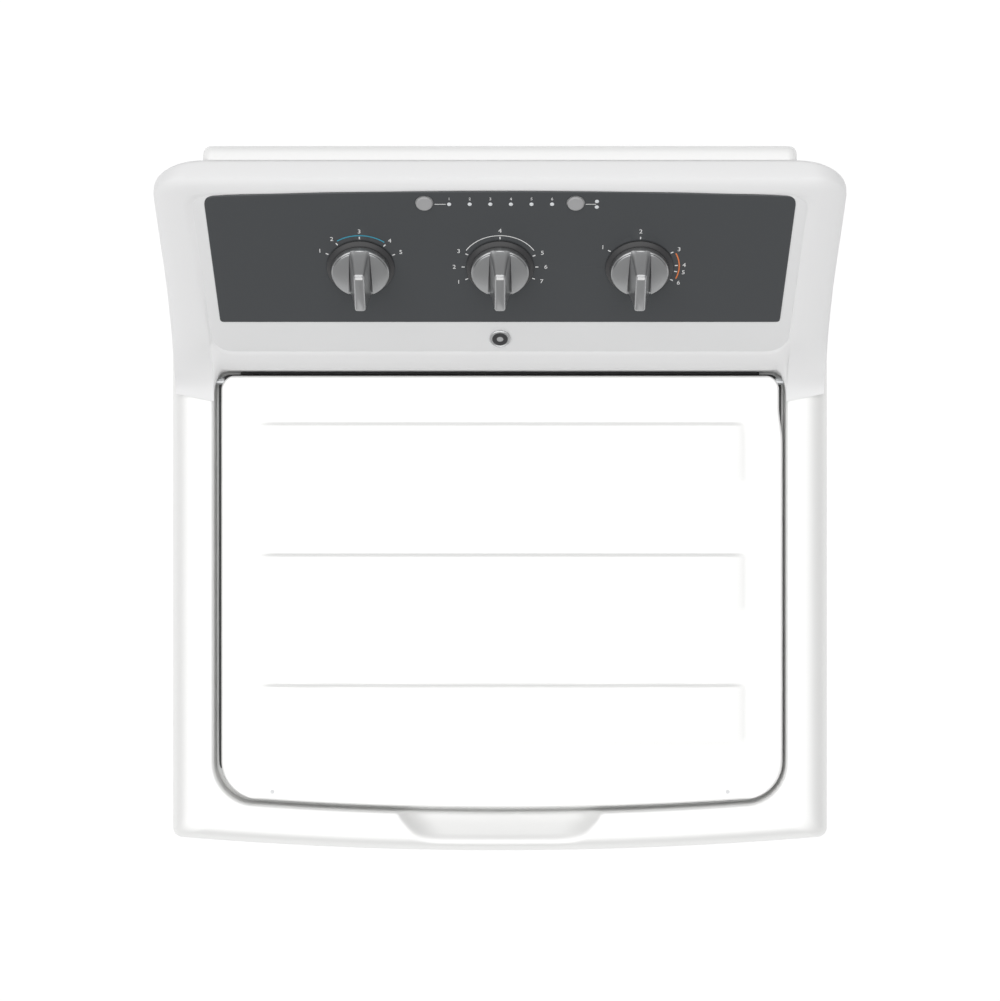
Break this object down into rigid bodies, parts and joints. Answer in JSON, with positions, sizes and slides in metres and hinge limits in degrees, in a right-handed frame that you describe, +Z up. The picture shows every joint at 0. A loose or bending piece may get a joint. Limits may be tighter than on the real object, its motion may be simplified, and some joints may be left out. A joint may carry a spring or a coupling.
{
  "type": "top load washing machine",
  "caption": "White top load washing machine with a sloped console, hinged lid, agitator, hung tub and belt drive.",
  "frame": {"origin": "on the floor, under the middle of the machine's bounding box", "axes": "+Z up, -Y out of the front, +X to the machine's right as seen from the front"},
  "size_m": [0.688, 0.717, 1.118],
  "materials": {
    "white_enamel": "glossy baked enamel",
    "white_plastic": "smooth moulded plastic",
    "dark_fascia": "dark glossy printed panel",
    "silver_knob": "silver painted plastic",
    "pale_cap": "translucent pale plastic",
    "zinc_steel": "galvanised",
    "stainless": "perforated stainless",
    "grey_plastic": "glass filled plastic",
    "black_plastic": "moulded",
    "black_rubber": "matte",
    "agitator_plastic": "smooth moulded plastic",
    "motor_steel": "painted",
    "board_green": "lacquered board"
  },
  "bodies": {
    "cabinet": {"base_frame": "zinc_steel", "front_panel": "white_enamel", "side_panel_left": "white_enamel", "side_panel_right": "white_enamel", "rear_panel": "zinc_steel", "top_cover": "white_enamel", "hinge_pin_left": "zinc_steel", "hinge_pin_right": "zinc_steel", "lid_lock": "black_plastic", "water_valve": "white_plastic", "fill_nozzle": "white_plastic", "console_housing": "white_plastic", "console_rear_cover": "white_plastic", "control_panel": "dark_fascia", "badge": "silver_knob", "control_board": "board_green", "light_guide": "pale_cap", "switch_water_level": "grey_plastic", "switch_cycle": "grey_plastic", "switch_temperature": "grey_plastic", "drain_pump": "white_plastic", "sump_hose": "black_rubber", "drain_hose": "black_rubber", "suspension_rod_front_left": "zinc_steel", "suspension_rod_front_right": "zinc_steel", "suspension_rod_rear_left": "zinc_steel", "suspension_rod_rear_right": "zinc_steel", "suspension_spring_front_left": "zinc_steel", "suspension_spring_front_right": "zinc_steel", "suspension_spring_rear_left": "zinc_steel", "suspension_spring_rear_right": "zinc_steel"},
    "lid": {"lid_outer": "white_enamel", "lid_inner": "white_plastic", "lid_strike": "black_plastic"},
    "bolt": {"lock_bolt": "white_plastic"},
    "water_level_knob": {"knob_water_level": "silver_knob"},
    "cycle_knob": {"knob_cycle": "silver_knob"},
    "temperature_knob": {"knob_temperature": "silver_knob"},
    "extra_rinse_button": {"button_extra_rinse": "pale_cap"},
    "start_button": {"button_start": "pale_cap"},
    "tub": {"outer_tub": "grey_plastic", "tub_ring": "white_plastic", "motor_bracket": "zinc_steel", "motor": "motor_steel", "drive_belt": "black_rubber", "lower_bearing": "zinc_steel", "upper_bearing": "zinc_steel"},
    "basket": {"wash_basket": "stainless", "balance_ring": "white_plastic", "basket_hub": "grey_plastic"},
    "drive": {"drive_pulley": "grey_plastic", "drive_shaft": "zinc_steel", "agitator_base": "agitator_plastic"},
    "motor_rotor": {"motor_pulley": "zinc_steel"},
    "auger": {"agitator_auger": "agitator_plastic"},
    "cup": {"softener_cup": "white_plastic"},
    "foot_front_left_body": {"foot_front_left": "black_rubber"},
    "foot_front_right_body": {"foot_front_right": "black_rubber"},
    "foot_rear_left_body": {"foot_rear_left": "black_rubber"},
    "foot_rear_right_body": {"foot_rear_right": "black_rubber"}
  },
  "joints": [
    {"name": "lid_hinge", "type": "hinge", "parent": "cabinet", "child": "lid", "pos_m": [0, 0.1345, 0.922], "axis": [-1, 0, 0], "range_deg": [0, 95]},
    {"name": "water_level_turn", "type": "hinge", "parent": "cabinet", "child": "water_level_knob", "pos_m": [-0.14, 0.24422, 1.0453], "axis": [0, -0.6905, 0.7234], "range_deg": [-65, 65]},
    {"name": "cycle_turn", "type": "hinge", "parent": "cabinet", "child": "cycle_knob", "pos_m": [0, 0.24422, 1.0453], "axis": [0, -0.6905, 0.7234], "range_deg": [-115, 115]},
    {"name": "temperature_turn", "type": "hinge", "parent": "cabinet", "child": "temperature_knob", "pos_m": [0.14, 0.24422, 1.0453], "axis": [0, -0.6905, 0.7234], "range_deg": [-117, 56]},
    {"name": "extra_rinse_push", "type": "slide", "parent": "cabinet", "child": "extra_rinse_button", "axis": [0, 0.6905, -0.7234], "range_m": [0, 0.002], "stiffness_N_per_m": 300, "springref_m": -0.002},
    {"name": "start_push", "type": "slide", "parent": "cabinet", "child": "start_button", "axis": [0, 0.6905, -0.7234], "range_m": [0, 0.002], "stiffness_N_per_m": 300, "springref_m": -0.002},
    {"name": "lock_bolt_slide", "type": "slide", "parent": "cabinet", "child": "bolt", "axis": [-1, 0, 0], "range_m": [0, 0.01]},
    {"name": "tub_travel", "type": "slide", "parent": "cabinet", "child": "tub", "axis": [0, 0, 1], "range_m": [-0.03, 0.012], "stiffness_N_per_m": 10000, "springref_m": 0.02502, "deforming": ["suspension_spring_front_left", "suspension_spring_front_right", "suspension_spring_rear_left", "suspension_spring_rear_right", "sump_hose"]},
    {"name": "basket_spin", "type": "hinge", "parent": "tub", "child": "basket", "pos_m": [0, 0, 0.3], "axis": [0, 0, 1], "continuous": true},
    {"name": "agitator_spin", "type": "hinge", "parent": "tub", "child": "drive", "pos_m": [0, 0, 0.3], "axis": [0, 0, 1], "continuous": true},
    {"name": "motor_spin", "type": "hinge", "parent": "tub", "child": "motor_rotor", "pos_m": [0.17, 0, 0.126], "axis": [0, 0, 1], "continuous": true},
    {"name": "auger_spin", "type": "hinge", "parent": "drive", "child": "auger", "pos_m": [0, 0, 0.5], "axis": [0, 0, 1], "continuous": true},
    {"name": "cup_lift", "type": "slide", "parent": "auger", "child": "cup", "axis": [0, 0, 1], "range_m": [0, 0.05]},
    {"name": "foot_front_left_screw", "type": "slide", "parent": "cabinet", "child": "foot_front_left_body", "axis": [0, 0, 1], "range_m": [-0.012, 0]},
    {"name": "foot_front_right_screw", "type": "slide", "parent": "cabinet", "child": "foot_front_right_body", "axis": [0, 0, 1], "range_m": [-0.012, 0]},
    {"name": "foot_rear_left_screw", "type": "slide", "parent": "cabinet", "child": "foot_rear_left_body", "axis": [0, 0, 1], "range_m": [-0.012, 0]},
    {"name": "foot_rear_right_screw", "type": "slide", "parent": "cabinet", "child": "foot_rear_right_body", "axis": [0, 0, 1], "range_m": [-0.012, 0]}
  ],
  "couplings": [
    {"joint": "motor_spin", "follows": "agitator_spin", "ratio": 3.8636}
  ]
}
